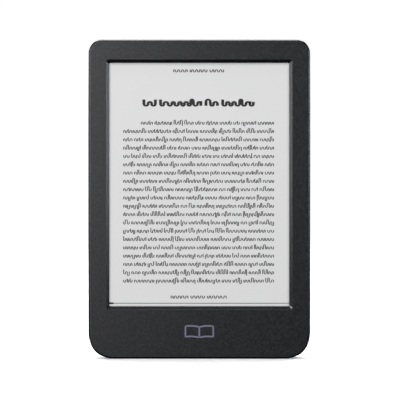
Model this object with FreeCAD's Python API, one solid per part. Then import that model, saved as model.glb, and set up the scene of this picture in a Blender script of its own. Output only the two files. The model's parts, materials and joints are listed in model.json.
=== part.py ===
import FreeCAD, Part
import math
import os
from FreeCAD import Vector

# E-reader with a six-inch electronic-paper screen, one STEP file per piece. Millimetres.
# It stands upright: +X is right seen from the front, the screen faces -Y, the back faces +Y and
# +Z is up. The origin is the middle of the flat bottom edge, half way through the thickness.

# Outside
WIDTH = 112.0
DEPTH = 9.2
HEIGHT = 161.0
TOP_CORNER_R = 6.85
# Each bottom corner is a large arc, then a smaller one, then a straight slope to the flat bottom.
SIDE_ARC_R = 19.3
SIDE_ARC_TURN = 20.2
LOWER_ARC_R = 10.3
SLOPE = 17.0
FLAT_HALF = 45.0
FRONT_EDGE_R = 1.2
REAR_EDGE_R = 3.4

# Window in the bezel: it narrows from the front face to the back of the lip.
WINDOW_HALF = 45.35
WINDOW_Z = (26.5, 149.2)
WINDOW_BEVEL = 1.6
WINDOW_CORNER_R = 0.6
WINDOW_EDGE_R = 0.2

# Layers through the thickness, from the front face to the back
FRONT_Y = -DEPTH / 2
BACK_Y = DEPTH / 2
LIP_Y = FRONT_Y + 0.85
TOUCH_Y = LIP_Y + 0.15
GUIDE_Y = TOUCH_Y + 0.4
FILM_Y = GUIDE_Y + 0.4
GLASS_Y = FILM_Y + 0.3
TAPE_Y = GLASS_Y + 0.4
FRAME_Y = TAPE_Y + 0.15
FRAME_BACK_Y = FRAME_Y + 0.65
BOARD_Y = FRAME_BACK_Y + 0.7
BOARD_TOP_Y = BOARD_Y + 0.8
COVER_INNER_Y = BACK_Y - 1.2
PARTING_Y = -2.2

# How the bezel's skirt, the cover's wall and the frame nest, as insets from the outline
COVER_WALL = 1.3
SKIRT_OUT = 1.35
SKIRT_IN = 2.25
SKIRT_END_Y = -0.4
FRAME_INSET = 3.0
FRAME_RIM = 0.8
FRAME_RIM_Y = -0.9
LEDGE_Y = 0.0
LEDGE_THICKNESS = 0.8
LEDGE_IN = 2.3

# Snap hooks on the cover's wall, which spring into windows in the skirt
SNAP_Z = (30.0, 65.0, 100.0, 135.0)
SNAP_X = 28.0
SNAP_LENGTH = 5.0
SNAP_Y = (-1.7, -0.95)
SNAP_REACH = 0.7
SNAP_GAP = 0.15

# Display stack
TOUCH_HALF = 50.9
TOUCH_Z = (15.0, 153.5)
GUIDE_HALF = 49.5
GUIDE_Z = (21.0, 152.5)
FILM_HALF = 47.3
FILM_Z = (23.5, 151.5)
GLASS_Z = (14.5, 152.9)
GASKET_MARGIN = 0.55
FLEX_THICKNESS = 0.12
FLEX_BEND_Z = 12.5
FLEX_END_Z = 21.4
SOCKET_Z = (18.5, 23.5)
SOCKET_FLEX_Y = 0.75
DISPLAY_FLEX_X = (-44.0, -27.0)
TOUCH_FLEX_X = (14.0, 22.0)
LIGHT_FLEX_X = (25.0, 30.0)
LED_COUNT = 10
LED_PITCH = 9.6

# Fasteners: radii of a shank, its hole and its head
SHANK_R = 0.70
HOLE_R = 0.75
HEAD_R = 1.5
HEAD_HEIGHT = 0.5
TOP_SCREWS = ((-46.0, 155.4), (0.0, 155.4), (46.0, 155.4))
BOTTOM_SCREWS = ((-46.0, 8.0), (-24.0, 7.0), (24.0, 7.0), (46.0, 8.0))
FRAME_SCREWS = TOP_SCREWS + BOTTOM_SCREWS
COLUMN_SCREWS = ((-20.0, 147.0), (-47.0, 122.0), (-20.0, 88.0))
FOOT_SCREWS = ((-47.0, 27.0), (30.5, 27.0), (-7.0, 13.0), (7.0, 13.0))
BOARD_SCREWS = COLUMN_SCREWS + FOOT_SCREWS

# Main board: a column beside the battery, a foot under it and a tongue for the charging port
COLUMN_X = (-50.0, -17.0)
COLUMN_Z = (24.0, 150.0)
FOOT_X = (-50.0, 34.0)
FOOT_Z = (16.0, 30.0)
TONGUE_HALF = 9.0
TONGUE_Z = 3.2
SHIELD_X = -33.0
SHIELD_Z = 105.0
SHIELD_SIZE = (24.2, 20.2)
SHIELD_WALL = 0.2

# Battery
BATTERY_X = (-10.5, 47.5)
BATTERY_Z = (40.0, 128.0)
BATTERY_Y = FRAME_BACK_Y + 0.15
BATTERY_THICKNESS = 3.2
CELL_BOARD_Y = 0.5
CELL_BOARD_THICKNESS = 0.8
CELL_BOARD_X = (-5.0, 30.0)
CELL_BOARD_Z = (36.3, 39.6)
WIRE_R = 0.4
WIRE_PITCH = 1.0
WIRE_BEND_R = 1.2
PLUG_END_X = -17.3

# Charging port
USB_Y = 0.35
USB_OUTER = (8.94, 3.16)
USB_WALL = 0.3
USB_Z = (0.6, 7.95)
USB_GAP = 0.14
CONTACT_COUNT = 12
CONTACT_PITCH = 0.5

# Power button on the back, its switch, and the light beside it
BUTTON_X = -41.0
BUTTON_Z = 146.0
BUTTON_R = 5.3
BUTTON_GAP = 0.15
BUTTON_OUT_Y = BACK_Y - 0.15
FLANGE_R = 6.5
FLANGE_Y = (2.55, 3.15)
PLUNGER_TOP_Y = 1.6
PLUNGER_R = 0.85
SWITCH_SIZE = 4.5
SWITCH_FLOOR_Y = 0.45
SWITCH_RIM_Y = 1.05
DISH_R = 8.0
DISH_DEPTH = 0.35
LIGHT_X = -31.5
LIGHT_R = 0.8

# Shallow field on the back, which the hand rests on
FIELD_HALF = 44.0
FIELD_Z = (16.0, 128.0)
FIELD_DEPTH = 0.15
FIELD_CORNER_R = 7.0


def box(x0, x1, y0, y1, z0, z1):
    return Part.makeBox(x1 - x0, y1 - y0, z1 - z0, Vector(x0, y0, z0))


def centred_box(x, z, width, height, y0, y1):
    return box(x - width / 2, x + width / 2, y0, y1, z - height / 2, z + height / 2)


def disc(x, z, radius, y0, y1):
    """A cylinder along Y."""
    return Part.makeCylinder(radius, y1 - y0, Vector(x, y0, z), Vector(0, 1, 0))


def line(start, end):
    """A straight edge in the XZ plane."""
    return Part.LineSegment(Vector(start[0], 0, start[1]), Vector(end[0], 0, end[1])).toShape()


def arc(centre, radius, first, last):
    """An arc in the XZ plane between two angles, counted from +X towards +Z."""
    points = []
    for angle in (first, (first + last) / 2, last):
        turn = math.radians(angle)
        points.append(Vector(centre[0] + radius * math.cos(turn), 0, centre[1] + radius * math.sin(turn)))
    return Part.Arc(*points).toShape()


def end_of(centre, radius, angle):
    turn = math.radians(angle)
    return centre[0] + radius * math.cos(turn), centre[1] + radius * math.sin(turn)


def loop(edges):
    return Part.Wire(Part.__sortEdges__(edges))


def slab(wire, y0, y1):
    """The inside of a wire drawn at y = 0, as a solid from y0 to y1."""
    face = Part.Face(wire)
    face.translate(Vector(0, y0, 0))
    return face.extrude(Vector(0, y1 - y0, 0))


def rounded_rectangle(x0, x1, z0, z1, radius):
    edges = []
    corners = ((x1, z0, -90), (x1, z1, 0), (x0, z1, 90), (x0, z0, 180))
    centres = []
    for x, z, first in corners:
        inward_x = -radius if x == x1 else radius
        inward_z = -radius if z == z1 else radius
        centres.append((x + inward_x, z + inward_z))
        edges.append(arc(centres[-1], radius, first, first + 90))
    for i, (_, _, first) in enumerate(corners):
        start = end_of(centres[i], radius, first + 90)
        end = end_of(centres[(i + 1) % 4], radius, corners[(i + 1) % 4][2])
        edges.append(line(start, end))
    return loop(edges)


def body_outline(inset=0.0):
    """The reader's outline seen from the front, moved inwards by inset."""
    half = WIDTH / 2
    slope = math.radians(SLOPE)
    turn = math.radians(SIDE_ARC_TURN)
    across = SIDE_ARC_R * (1 - math.cos(turn)) + LOWER_ARC_R * (math.cos(turn) - math.sin(slope))
    down = SIDE_ARC_R * math.sin(turn) + LOWER_ARC_R * (math.cos(slope) - math.sin(turn))
    side_z = (half - FLAT_HALF - across) * math.tan(slope) + down
    top = (half - TOP_CORNER_R, HEIGHT - TOP_CORNER_R)
    upper = (half - SIDE_ARC_R, side_z)
    lower = end_of(upper, SIDE_ARC_R - LOWER_ARC_R, -SIDE_ARC_TURN)
    kink = (FLAT_HALF - inset * math.tan(slope / 2), inset)
    right = [
        line(kink, end_of(lower, LOWER_ARC_R - inset, SLOPE - 90)),
        arc(lower, LOWER_ARC_R - inset, SLOPE - 90, -SIDE_ARC_TURN),
        arc(upper, SIDE_ARC_R - inset, -SIDE_ARC_TURN, 0),
        line((half - inset, side_z), (half - inset, top[1])),
        arc(top, TOP_CORNER_R - inset, 0, 90),
    ]
    left = [edge.mirror(Vector(0, 0, 0), Vector(1, 0, 0)) for edge in right]
    flat = line((-kink[0], inset), kink)
    crown = line((-top[0], HEIGHT - inset), (top[0], HEIGHT - inset))
    return loop(right + left + [flat, crown])


def ring(outer_inset, inner_inset, y0, y1):
    return slab(body_outline(outer_inset), y0, y1).cut(slab(body_outline(inner_inset), y0, y1))


def edges_at(shape, y):
    """The edges that lie wholly in the plane at this y."""
    found = []
    for edge in shape.Edges:
        bounds = edge.BoundBox
        if abs(bounds.YMin - y) < 1e-6 and abs(bounds.YMax - y) < 1e-6:
            found.append(edge)
    return found


def stadium(width, thickness, centre_y, z0, z1):
    """A bar with round sides along Z, as the charging port's shell is."""
    radius = thickness / 2
    half = width / 2 - radius
    bar = box(-half, half, centre_y - radius, centre_y + radius, z0, z1)
    for x in (-half, half):
        bar = bar.fuse(Part.makeCylinder(radius, z1 - z0, Vector(x, centre_y, z0), Vector(0, 0, 1)))
    return bar.removeSplitter()


def group(shapes):
    return Part.makeCompound(shapes)


def snap_places():
    """Where each hook stands: the wall's inner face, and the turn that points it inwards."""
    wall = WIDTH / 2 - COVER_WALL
    places = []
    for z in SNAP_Z:
        places.append((-wall, z, 0))
        places.append((wall, z, 180))
    for x in (-SNAP_X, SNAP_X):
        places.append((x, HEIGHT - COVER_WALL, 90))
        places.append((x, COVER_WALL, -90))
    return places


def at_place(shape, place):
    x, z, angle = place
    return shape.rotated(Vector(0, 0, 0), Vector(0, 1, 0), angle).translated(Vector(x, 0, z))


def snap_hook():
    """A wedge that points along +X, with a sloping lead-in on the side that enters the skirt."""
    root = -0.1
    lead = SNAP_Y[0] + 0.3
    points = [
        Vector(root, SNAP_Y[0], 0),
        Vector(0, SNAP_Y[0], 0),
        Vector(SNAP_REACH, lead, 0),
        Vector(SNAP_REACH, SNAP_Y[1], 0),
        Vector(root, SNAP_Y[1], 0),
        Vector(root, SNAP_Y[0], 0),
    ]
    profile = Part.Face(Part.makePolygon(points))
    return profile.extrude(Vector(0, 0, SNAP_LENGTH)).translated(Vector(0, 0, -SNAP_LENGTH / 2))


def snap_window():
    half = SNAP_LENGTH / 2 + 2 * SNAP_GAP
    return box(-0.2, 1.2, SNAP_Y[0] - SNAP_GAP, SNAP_Y[1] + SNAP_GAP, -half, half)


def window_rim(shape):
    """The edges of the front face that run round the window."""
    rim = []
    reach = WINDOW_HALF + 2 * WINDOW_BEVEL
    for edge in edges_at(shape, FRONT_Y):
        bounds = edge.BoundBox
        beside = max(-bounds.XMin, bounds.XMax) < reach
        below_top = bounds.ZMax < WINDOW_Z[1] + 2 * WINDOW_BEVEL
        if beside and below_top and bounds.ZMin > WINDOW_Z[0] - 2 * WINDOW_BEVEL:
            rim.append(edge)
    return rim


def window_opening():
    wide = WINDOW_HALF + WINDOW_BEVEL
    front = rounded_rectangle(
        -wide, wide, WINDOW_Z[0] - WINDOW_BEVEL, WINDOW_Z[1] + WINDOW_BEVEL, 2 * WINDOW_CORNER_R
    )
    front.translate(Vector(0, FRONT_Y, 0))
    back = rounded_rectangle(-WINDOW_HALF, WINDOW_HALF, *WINDOW_Z, WINDOW_CORNER_R)
    back.translate(Vector(0, LIP_Y, 0))
    return Part.makeLoft([front, back], True, True)


def front_bezel():
    plate = slab(body_outline(), FRONT_Y, PARTING_Y)
    plate = plate.makeFillet(FRONT_EDGE_R, edges_at(plate, FRONT_Y))
    bezel = plate.fuse(slab(body_outline(SKIRT_OUT), PARTING_Y, SKIRT_END_Y))
    bezel = bezel.cut(slab(body_outline(SKIRT_IN), LIP_Y, SKIRT_END_Y))
    bezel = bezel.cut(window_opening())
    bezel = bezel.makeFillet(WINDOW_EDGE_R, window_rim(bezel))
    for x, z in FRAME_SCREWS:
        bezel = bezel.fuse(disc(x, z, 1.7, LIP_Y, FRAME_Y))
    for x in (-34.0, -12.0, 12.0, 34.0):
        bezel = bezel.fuse(box(x - 0.4, x + 0.4, LIP_Y, LIP_Y + 0.7, SKIRT_IN, TOUCH_Z[0] - 1.0))
    for x, z in FRAME_SCREWS:
        bezel = bezel.cut(disc(x, z, HOLE_R, LIP_Y + 0.1, FRAME_Y))
    for place in snap_places():
        bezel = bezel.cut(at_place(snap_window(), place))
    notch = USB_OUTER[0] / 2 + 0.8
    return bezel.cut(box(-notch, notch, -1.6, SKIRT_END_Y, SKIRT_OUT, SKIRT_IN))


def bezel_gasket():
    """A ring between the lip and the touch panel, kept back from both of its neighbours' edges."""
    half = TOUCH_HALF - 0.4
    outer = rounded_rectangle(-half, half, TOUCH_Z[0] + 0.4, TOUCH_Z[1] - 0.4, 1.0)
    half = WINDOW_HALF + GASKET_MARGIN
    inner = rounded_rectangle(-half, half, WINDOW_Z[0] - GASKET_MARGIN, WINDOW_Z[1] + GASKET_MARGIN, 0.8)
    return slab(outer, LIP_Y, TOUCH_Y).cut(slab(inner, LIP_Y, TOUCH_Y))


def touch_panel():
    return slab(rounded_rectangle(-TOUCH_HALF, TOUCH_HALF, *TOUCH_Z, 1.0), TOUCH_Y, GUIDE_Y)


def light_guide():
    return slab(rounded_rectangle(-GUIDE_HALF, GUIDE_HALF, *GUIDE_Z, 0.5), GUIDE_Y, FILM_Y)


def epaper_film():
    return slab(rounded_rectangle(-FILM_HALF, FILM_HALF, *FILM_Z, 0.5), FILM_Y, GLASS_Y)


def backplane_glass():
    return slab(rounded_rectangle(-TOUCH_HALF, TOUCH_HALF, *GLASS_Z, 0.3), GLASS_Y, TAPE_Y)


def display_driver():
    return chamfered(box(-12.0, 12.0, GLASS_Y - 0.25, GLASS_Y, 16.0, 17.6), GLASS_Y - 0.25, 0.05)


def display_tape():
    strips = []
    for z in (24.0, 54.0, 84.0, 114.0, 144.0):
        strips.append(box(-48.0, 48.0, TAPE_Y, FRAME_Y, z - 4.0, z + 4.0))
    return group(strips)


def chamfered(shape, y, size):
    return shape.makeChamfer(size, edges_at(shape, y))


def folded_flex(x_range, front_y, front_z, overlap_z):
    """A ribbon that leaves the display at front_y, turns under the frame and ends in its socket."""
    half = FLEX_THICKNESS / 2
    middle = (front_y + SOCKET_FLEX_Y) / 2
    radius = (SOCKET_FLEX_Y - front_y) / 2
    length = x_range[1] - x_range[0]
    start = Vector(x_range[0], middle, FLEX_BEND_Z)
    bend = Part.makeCylinder(radius + half, length, start, Vector(1, 0, 0))
    bend = bend.cut(Part.makeCylinder(radius - half, length, start, Vector(1, 0, 0)))
    above = box(*x_range, middle - 2 * radius, middle + 2 * radius, FLEX_BEND_Z, FLEX_BEND_Z + 2 * radius)
    bend = bend.cut(above)
    front = box(*x_range, front_y - half, front_y + half, FLEX_BEND_Z, front_z + overlap_z)
    back = box(*x_range, SOCKET_FLEX_Y - half, SOCKET_FLEX_Y + half, FLEX_BEND_Z, FLEX_END_Z)
    return bend.fuse([front, back]).removeSplitter()


def display_flex():
    return folded_flex(DISPLAY_FLEX_X, GLASS_Y - FLEX_THICKNESS / 2, GLASS_Z[0], 1.3)


def touch_flex():
    return folded_flex(TOUCH_FLEX_X, GUIDE_Y + FLEX_THICKNESS / 2, TOUCH_Z[0], 2.0)


def light_strip():
    strip_y = GUIDE_Y + FLEX_THICKNESS / 2
    tail = folded_flex(LIGHT_FLEX_X, strip_y, TOUCH_Z[0], 4.0)
    strip = box(-46.0, 46.0, GUIDE_Y, GUIDE_Y + FLEX_THICKNESS, 18.2, GUIDE_Z[0] - 0.1)
    return strip.fuse(tail).removeSplitter()


def light_leds():
    leds = []
    first = -LED_PITCH * (LED_COUNT - 1) / 2
    for i in range(LED_COUNT):
        x = first + i * LED_PITCH
        body = box(x - 1.2, x + 1.2, GUIDE_Y + FLEX_THICKNESS, GLASS_Y - 0.1, 19.6, 20.7)
        window = box(x - 0.9, x + 0.9, GUIDE_Y + FLEX_THICKNESS + 0.08, GLASS_Y - 0.18, 20.6, 20.7)
        leds.append(body.cut(window))
    return group(leds)


def flex_socket(x_range):
    body = box(x_range[0] - 1.5, x_range[1] + 1.5, BOARD_TOP_Y, BOARD_TOP_Y + 1.15, *SOCKET_Z)
    gap = FLEX_THICKNESS / 2 + 0.03
    slot = box(
        x_range[0] - 0.1,
        x_range[1] + 0.1,
        SOCKET_FLEX_Y - gap,
        SOCKET_FLEX_Y + gap,
        SOCKET_Z[0],
        FLEX_END_Z + 0.2,
    )
    return body.cut(slot)


def display_socket():
    return flex_socket(DISPLAY_FLEX_X)


def touch_socket():
    return flex_socket(TOUCH_FLEX_X)


def light_socket():
    return flex_socket(LIGHT_FLEX_X).common(box(23.6, 32.0, -5, 5, 0, 50))


def socket_latches():
    latches = []
    top = BOARD_TOP_Y + 1.15
    for x0, x1 in (DISPLAY_FLEX_X, TOUCH_FLEX_X, LIGHT_FLEX_X):
        bar = box(x0 + 0.1, x1 - 0.1, top, top + 0.25, SOCKET_Z[0] + 0.3, SOCKET_Z[0] + 2.2)
        latches.append(chamfered(bar, top + 0.25, 0.08))
    return group(latches)


def mid_frame():
    frame = slab(body_outline(FRAME_INSET), FRAME_Y, FRAME_BACK_Y)
    frame = frame.fuse(ring(FRAME_INSET, FRAME_INSET + FRAME_RIM, FRAME_BACK_Y, FRAME_RIM_Y))
    bay_gap = 0.5
    bay_wall = 0.8
    bays = []
    for grow in (bay_gap + bay_wall, bay_gap):
        outline = rounded_rectangle(
            BATTERY_X[0] - grow, BATTERY_X[1] + grow, CELL_BOARD_Z[0] - grow, BATTERY_Z[1] + grow, 1.5
        )
        bays.append(slab(outline, FRAME_BACK_Y, LEDGE_Y))
    frame = frame.fuse(bays[0].cut(bays[1]))
    for x, z in BOARD_SCREWS:
        frame = frame.fuse(disc(x, z, 1.6, FRAME_BACK_Y, BOARD_Y))
    for x, z in BOARD_SCREWS:
        frame = frame.cut(disc(x, z, HOLE_R, FRAME_Y, BOARD_Y))
    for x, z in FRAME_SCREWS:
        frame = frame.cut(disc(x, z, HOLE_R, FRAME_Y, FRAME_BACK_Y))
    for x0, x1 in (DISPLAY_FLEX_X, (TOUCH_FLEX_X[0], LIGHT_FLEX_X[1])):
        slot = rounded_rectangle(x0 - 1.0, x1 + 1.0, FLEX_BEND_Z - 2.6, FLEX_BEND_Z - 0.2, 0.8)
        frame = frame.cut(slab(slot, FRAME_Y, FRAME_BACK_Y))
    return frame.cut(box(-5.5, 5.5, FRAME_BACK_Y, FRAME_RIM_Y, FRAME_INSET, FRAME_INSET + FRAME_RIM))


def screw(x, z, seat_y, length):
    """A pan-head screw whose head rests on seat_y and whose shank points to the front."""
    shank = disc(x, z, SHANK_R, seat_y - length, seat_y)
    shank = shank.makeChamfer(0.25, edges_at(shank, seat_y - length))
    top = seat_y + HEAD_HEIGHT
    head = disc(x, z, HEAD_R, seat_y, top)
    head = head.makeFillet(0.2, edges_at(head, top))
    arm, half = 0.85, 0.2
    for width, height in ((arm, half), (half, arm)):
        head = head.cut(box(x - width, x + width, top - 0.3, top, z - height, z + height))
    return head.fuse(shank)


def frame_screws():
    return group([screw(x, z, FRAME_BACK_Y, FRAME_BACK_Y - LIP_Y - 0.2) for x, z in FRAME_SCREWS])


def board_screws():
    return group([screw(x, z, BOARD_TOP_Y, BOARD_TOP_Y - FRAME_Y - 0.15) for x, z in BOARD_SCREWS])


def main_board():
    board = box(*COLUMN_X, BOARD_Y, BOARD_TOP_Y, *COLUMN_Z)
    board = board.fuse(box(*FOOT_X, BOARD_Y, BOARD_TOP_Y, *FOOT_Z))
    board = board.fuse(box(-TONGUE_HALF, TONGUE_HALF, BOARD_Y, BOARD_TOP_Y, TONGUE_Z, FOOT_Z[0]))
    board = board.removeSplitter()
    corners = []
    for edge in board.Edges:
        if abs(edge.BoundBox.YLength - (BOARD_TOP_Y - BOARD_Y)) < 1e-6:
            corners.append(edge)
    board = board.makeFillet(0.8, corners)
    for x, z in BOARD_SCREWS:
        board = board.cut(disc(x, z, HOLE_R, BOARD_Y, BOARD_TOP_Y))
    notch = USB_OUTER[0] / 2 + 0.25
    return board.cut(box(-notch, notch, BOARD_Y, BOARD_TOP_Y, TONGUE_Z, USB_Z[1] + 0.4))


def chip(x, z, width, height, thickness):
    """A moulded package on the board, with a bevelled top and a dimple at its first corner."""
    top = BOARD_TOP_Y + thickness
    body = chamfered(centred_box(x, z, width, height, BOARD_TOP_Y, top), top, 0.08)
    return body.cut(disc(x - width / 2 + 0.8, z + height / 2 - 0.8, 0.25, top - 0.05, top))


def processor_chip():
    return chip(SHIELD_X - 4.5, SHIELD_Z, 12.0, 12.0, 1.0)


def memory_chip():
    return chip(SHIELD_X + 7.1, SHIELD_Z, 8.0, 11.0, 0.9)


def storage_chip():
    return chip(-33.0, 78.0, 11.5, 13.0, 1.0)


def power_chip():
    return chip(-33.0, 60.0, 6.0, 6.0, 0.9)


def hall_sensor():
    return chip(-46.5, 75.0, 1.8, 2.9, 1.0)


def status_led():
    middle = BOARD_TOP_Y + 0.35
    body = centred_box(LIGHT_X, BUTTON_Z, 1.6, 1.0, BOARD_TOP_Y, middle)
    return body.fuse(centred_box(LIGHT_X, BUTTON_Z, 1.0, 1.0, middle, middle + 0.25))


def power_coils():
    coils = []
    for x, z in ((-42.0, 60.0), (-24.0, 60.0)):
        coil = centred_box(x, z, 4.0, 4.0, BOARD_TOP_Y, BOARD_TOP_Y + 1.5)
        upright = [edge for edge in coil.Edges if edge.BoundBox.YLength > 1.4]
        coil = coil.makeFillet(0.7, upright)
        coils.append(chamfered(coil, BOARD_TOP_Y + 1.5, 0.15))
    return group(coils)


def thermal_pad():
    return centred_box(SHIELD_X - 4.5, SHIELD_Z, 10.0, 10.0, BOARD_TOP_Y + 1.0, BOARD_TOP_Y + 1.3)


def shield_box(grow, y0, y1):
    half_x = SHIELD_SIZE[0] / 2 + grow
    half_z = SHIELD_SIZE[1] / 2 + grow
    x_range = (SHIELD_X - half_x, SHIELD_X + half_x)
    z_range = (SHIELD_Z - half_z, SHIELD_Z + half_z)
    return slab(rounded_rectangle(*x_range, *z_range, 0.5 + grow), y0, y1)


def shield_fence():
    top = BOARD_TOP_Y + 1.25
    return shield_box(0, BOARD_TOP_Y, top).cut(shield_box(-SHIELD_WALL, BOARD_TOP_Y, top))


def shield_lid():
    gap = 0.05
    inner_top = BOARD_TOP_Y + 1.3
    lid = shield_box(gap + 0.15, BOARD_TOP_Y + 0.5, inner_top + 0.15)
    lid = lid.cut(shield_box(gap, BOARD_TOP_Y + 0.5, inner_top))
    for i in range(7):
        for side in (-1, 1):
            x = SHIELD_X + (i - 3) * 3.0
            lid = lid.cut(disc(x, SHIELD_Z + side * 8.2, 0.45, inner_top, inner_top + 0.15))
    return lid


def radio_module():
    """A small board with a can over its chips and its upper end left bare for the aerial track."""
    x = -36.0
    z = 134.0
    base = centred_box(x, z, 12.0, 14.0, BOARD_TOP_Y, BOARD_TOP_Y + 0.5)
    can = centred_box(x, z - 1.25, 11.0, 10.5, BOARD_TOP_Y + 0.5, BOARD_TOP_Y + 1.7)
    return base.fuse(chamfered(can, BOARD_TOP_Y + 1.7, 0.12))


def board_passives():
    """Rows of small capacitors and resistors beside the chips that they serve."""
    rows = ((-43.0, 92.0, 9, 2.3), (-43.0, 118.5, 9, 2.3), (-41.0, 68.5, 8, 2.2), (-42.0, 53.5, 7, 2.2))
    rows += ((-43.0, 36.0, 10, 2.2), (-14.0, 26.5, 9, 2.3), (-41.5, 87.0, 8, 2.2))
    parts = []
    for first_x, z, count, pitch in rows:
        for i in range(count):
            x = first_x + i * pitch
            height = 0.35 + 0.15 * (i % 3)
            parts.append(centred_box(x, z, 0.6, 1.1, BOARD_TOP_Y, BOARD_TOP_Y + height))
    return group(parts)


def antenna():
    wire = rounded_rectangle(-28.0, 0.0, 149.0, 155.0, 0.6)
    patch = slab(wire, COVER_INNER_Y - 0.15, COVER_INNER_Y)
    return patch.cut(box(-18.0, -3.0, COVER_INNER_Y - 0.15, COVER_INNER_Y, 151.2, 152.0))


def antenna_contact():
    """A leaf spring that is soldered to the board and presses on the antenna."""
    reach = COVER_INNER_Y - 0.15
    foot = BOARD_TOP_Y
    outline = [(143.5, foot), (146.0, foot), (151.2, reach - 0.15), (151.2, reach)]
    outline += [(150.9, reach), (145.85, foot + 0.18), (143.5, foot + 0.18), (143.5, foot)]
    profile = Part.Face(Part.makePolygon([Vector(-26.0, y, z) for z, y in outline]))
    return profile.extrude(Vector(2.0, 0, 0))


def battery():
    cell = box(*BATTERY_X, BATTERY_Y, BATTERY_Y + BATTERY_THICKNESS, *BATTERY_Z)
    long_edges = [edge for edge in cell.Edges if edge.BoundBox.ZLength > 50]
    cell = cell.makeFillet(1.2, long_edges)
    short_edges = edges_at(cell, BATTERY_Y) + edges_at(cell, BATTERY_Y + BATTERY_THICKNESS)
    ends = [edge for edge in short_edges if edge.BoundBox.ZLength < 1e-6]
    cell = cell.makeChamfer(0.3, ends)
    terrace = box(
        CELL_BOARD_X[0] - 1.0,
        CELL_BOARD_X[1] + 1.0,
        CELL_BOARD_Y - 0.3,
        CELL_BOARD_Y,
        CELL_BOARD_Z[0],
        BATTERY_Z[0] + 1.0,
    )
    return cell.fuse(terrace)


def battery_board():
    top = CELL_BOARD_Y + CELL_BOARD_THICKNESS
    board = box(*CELL_BOARD_X, CELL_BOARD_Y, top, *CELL_BOARD_Z)
    for x, width in ((2.0, 2.4), (8.0, 2.4), (14.0, 1.2), (18.0, 1.2), (24.0, 3.0)):
        board = board.fuse(box(x, x + width, top, top + 0.6, 37.2, 38.8))
    return board


def battery_tape():
    x0, x1 = BATTERY_X
    return group([box(x0 + 4, x1 - 4, FRAME_BACK_Y, BATTERY_Y, z - 6, z + 6) for z in (60.0, 108.0)])


def cover_pads():
    x0, x1 = BATTERY_X
    back = BATTERY_Y + BATTERY_THICKNESS
    return group([box(x0 + 8, x1 - 8, back, COVER_INNER_Y, z - 5, z + 5) for z in (54.0, 84.0, 114.0)])


def wire_path(i):
    """A lead from the plug: out, down beside the cell and along to the cell's own board."""
    y = CELL_BOARD_Y + CELL_BOARD_THICKNESS / 2
    plug_z = 46.0 + i * WIRE_PITCH
    cell_z = 36.95 + i * WIRE_PITCH
    down_x = PLUG_END_X + 2.0 + i * WIRE_PITCH
    r = WIRE_BEND_R
    upper = (down_x - r, plug_z - r)
    lower = (down_x + r, cell_z + r)
    edges = [
        line((PLUG_END_X, plug_z), (upper[0], plug_z)),
        arc(upper, r, 90, 0),
        line((down_x, upper[1]), (down_x, lower[1])),
        arc(lower, r, 180, 270),
        line((lower[0], cell_z), (CELL_BOARD_X[0], cell_z)),
    ]
    path = Part.Wire(edges)
    path.translate(Vector(0, y, 0))
    return path


def battery_wires():
    wires = []
    for i in range(3):
        path = wire_path(i)
        start = path.Vertexes[0].Point
        section = Part.Wire(Part.makeCircle(WIRE_R, start, Vector(1, 0, 0)))
        wires.append(path.makePipeShell([section], True, False))
    return group(wires)


def battery_plug():
    plug = box(-22.9, PLUG_END_X, 0.45, 1.5, 44.9, 49.1)
    for z in (45.6, 47.2):
        plug = plug.cut(box(-21.5, -19.5, 1.3, 1.5, z, z + 1.2))
    return plug


def battery_socket():
    shroud = box(-25.0, -18.5, BOARD_TOP_Y, 1.75, 44.1, 49.9)
    return shroud.cut(box(-23.0, -18.5, 0.4, 1.55, 44.8, 49.2))


def usb_shell():
    shell = stadium(*USB_OUTER, USB_Y, *USB_Z)
    inside = [size - 2 * USB_WALL for size in USB_OUTER]
    shell = shell.cut(stadium(*inside, USB_Y, USB_Z[0], USB_Z[1] - USB_WALL))
    wall = USB_OUTER[0] / 2
    for side in (-1, 1):
        for z in (4.2, 6.6):
            x0, x1 = sorted((side * (wall - 0.2), side * (wall + 1.3)))
            shell = shell.fuse(box(x0, x1, BOARD_TOP_Y, BOARD_TOP_Y + 0.25, z, z + 0.9))
    return shell


def usb_tongue():
    blade = box(-3.35, 3.35, USB_Y - 0.35, USB_Y + 0.35, USB_Z[0] + 0.5, 5.6)
    lead_in = [edge for edge in blade.Edges if edge.BoundBox.ZMax < USB_Z[0] + 0.6]
    blade = blade.makeChamfer(0.1, lead_in)
    block = stadium(USB_OUTER[0] - 2 * USB_WALL - 0.04, USB_OUTER[1] - 2 * USB_WALL - 0.04, USB_Y, 5.5, 7.6)
    return blade.fuse(block)


def usb_contacts():
    contacts = []
    first = -CONTACT_PITCH * (CONTACT_COUNT - 1) / 2
    for i in range(CONTACT_COUNT):
        x = first + i * CONTACT_PITCH
        for y in (USB_Y - 0.39, USB_Y + 0.35):
            contacts.append(box(x - 0.125, x + 0.125, y, y + 0.04, USB_Z[0] + 0.8, 5.5))
    return group(contacts)


def dish_ball(rim_r, depth, surface_y):
    """The ball that leaves a dish of this depth round the button's axis in a face at surface_y."""
    radius = (rim_r**2 + depth**2) / (2 * depth)
    return Part.makeSphere(radius, Vector(BUTTON_X, surface_y - depth + radius, BUTTON_Z))


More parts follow.
